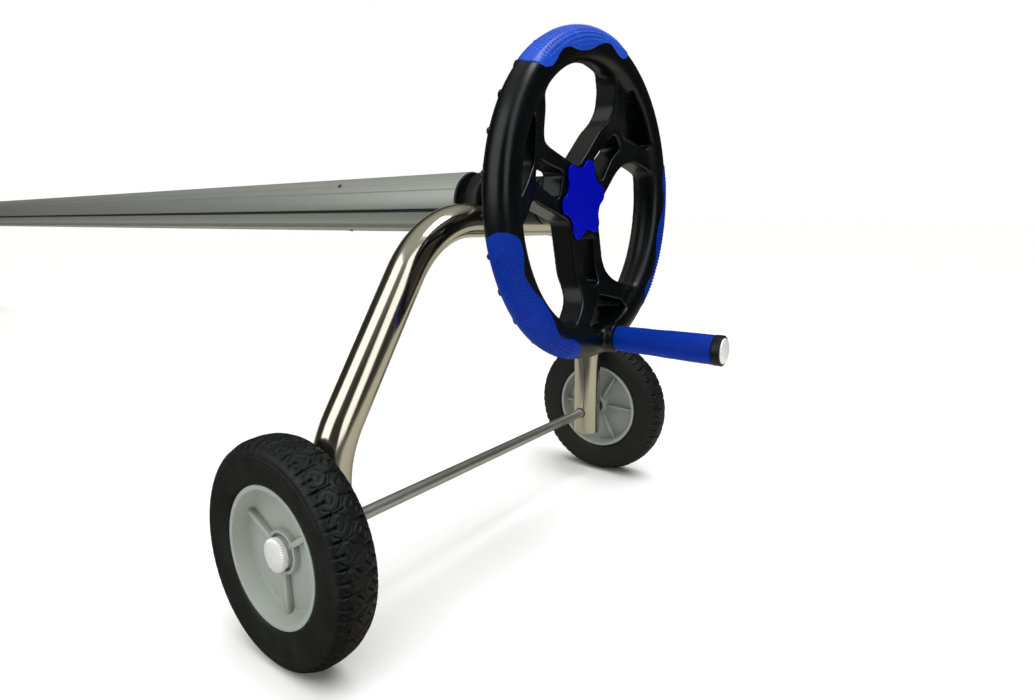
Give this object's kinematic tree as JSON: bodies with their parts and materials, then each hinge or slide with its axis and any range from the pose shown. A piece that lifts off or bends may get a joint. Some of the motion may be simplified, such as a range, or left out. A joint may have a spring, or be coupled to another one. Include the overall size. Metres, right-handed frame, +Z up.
{
  "type": "pool cover reel",
  "caption": "Pool cover reel: an aluminium roller tube between bent steel tube stands, wound by a spoked hand wheel with a crank grip; one stand rolls on rubber-tyred wheels.",
  "frame": {"origin": "middle of the object's bounding box on the floor", "axes": "+X along the reel tube towards the hand wheel, +Y across the stands away from the near wheel, +Z up"},
  "size_m": [3.5792, 0.6556, 0.6181],
  "materials": {
    "aluminium": "satin anodised",
    "stainless": "polished",
    "steel": "plated",
    "black_plastic": "satin moulded",
    "blue_grip": "satin moulded",
    "rubber": "matt",
    "grey_plastic": "satin moulded",
    "nylon": "matt"
  },
  "bodies": {
    "stands": {"drive_stand": "stainless", "idle_stand": "stainless", "near_foot": "rubber", "far_foot": "rubber", "drive_bearing_block": "black_plastic", "drive_bearing_bush": "nylon", "drive_bearing_screw_1": "steel", "drive_bearing_screw_2": "steel", "idle_bearing_block": "black_plastic", "idle_bearing_bush": "nylon", "idle_bearing_screw_1": "steel", "idle_bearing_screw_2": "steel", "axle_rod": "steel", "near_wheel_spacer": "black_plastic", "far_wheel_spacer": "black_plastic", "near_axle_cap": "stainless", "far_axle_cap": "stainless"},
    "reel": {"reel_tube": "aluminium", "drive_tube_plug": "black_plastic", "idle_tube_plug": "black_plastic", "drive_tube_rivet_1": "steel", "drive_tube_rivet_2": "steel", "drive_tube_rivet_3": "steel", "idle_tube_rivet_1": "steel", "idle_tube_rivet_2": "steel", "idle_tube_rivet_3": "steel", "drive_shaft": "steel", "idle_shaft": "steel", "idle_shaft_cap": "black_plastic", "hand_wheel_body": "black_plastic", "hand_wheel_back_shell": "black_plastic", "hand_wheel_screw_1": "steel", "hand_wheel_screw_2": "steel", "hand_wheel_screw_3": "steel", "hand_wheel_screw_4": "steel", "hand_wheel_screw_5": "steel", "hand_wheel_screw_6": "steel", "top_rim_grip": "blue_grip", "near_rim_grip": "blue_grip", "far_rim_grip": "blue_grip", "knob_washer": "steel", "crank_spindle": "steel"},
    "knob": {"star_knob": "blue_grip"},
    "crank_grip": {"crank_sleeve": "blue_grip", "crank_end_ring": "black_plastic", "crank_end_cap": "stainless"},
    "near_wheel": {"near_wheel_hub": "grey_plastic", "near_wheel_tyre": "rubber"},
    "far_wheel": {"far_wheel_hub": "grey_plastic", "far_wheel_tyre": "rubber"}
  },
  "joints": [
    {"name": "reel_spin", "type": "hinge", "parent": "stands", "child": "reel", "pos_m": [1.4955, 0, 0.44], "axis": [1, 0, 0], "continuous": true},
    {"name": "knob_turn", "type": "hinge", "parent": "reel", "child": "knob", "pos_m": [1.6325, 0, 0.44], "axis": [1, 0, 0], "range_deg": [0, 360]},
    {"name": "crank_grip_spin", "type": "hinge", "parent": "reel", "child": "crank_grip", "pos_m": [1.6638, 0.02641, 0.28219], "axis": [1, 0, 0], "continuous": true},
    {"name": "near_wheel_spin", "type": "hinge", "parent": "stands", "child": "near_wheel", "pos_m": [1.4955, -0.305, 0.11], "axis": [0, 1, 0], "continuous": true},
    {"name": "far_wheel_spin", "type": "hinge", "parent": "stands", "child": "far_wheel", "pos_m": [1.4955, 0.305, 0.11], "axis": [0, 1, 0], "continuous": true}
  ]
}
